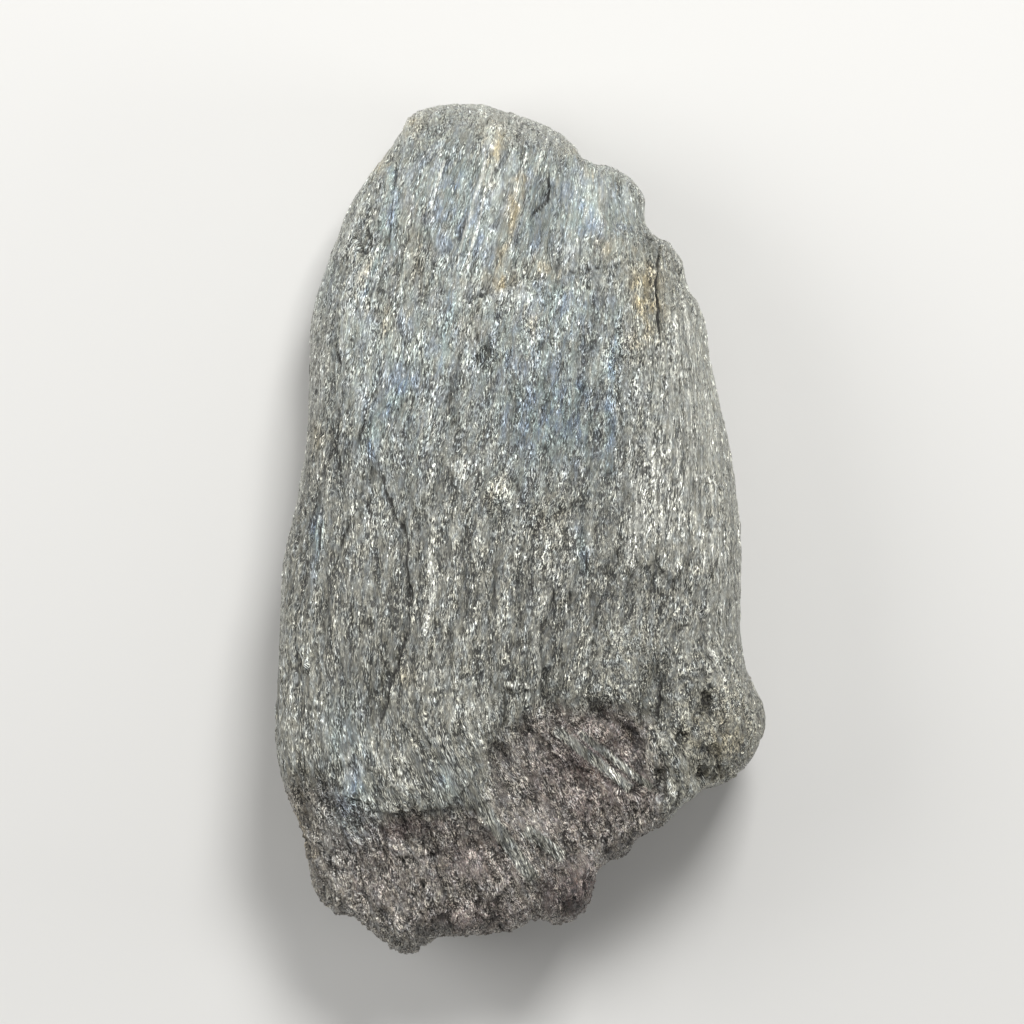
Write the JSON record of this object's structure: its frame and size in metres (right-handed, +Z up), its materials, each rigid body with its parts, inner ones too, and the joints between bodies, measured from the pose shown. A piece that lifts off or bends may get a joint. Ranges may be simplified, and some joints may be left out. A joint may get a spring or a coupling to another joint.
{
  "type": "alabandite specimen",
  "caption": "Hand-sized fibrous metallic-grey mineral slab, rounded at one end and broken obliquely at the other, lying on its flat back.",
  "frame": {"origin": "centre of the bounding box, on the plane that the specimen rests on", "axes": "+Y along the fibres to the rounded end, +Z up out of the fibrous face, +X to the right when looking down on that face"},
  "size_m": [0.0368, 0.064, 0.0201],
  "materials": {
    "alabandite": "fibrous, blue-grey to olive, with a silvery submetallic lustre, ochre stains and purple-brown broken ground"
  },
  "bodies": {
    "root": {"specimen": "alabandite"}
  },
  "joints": []
}
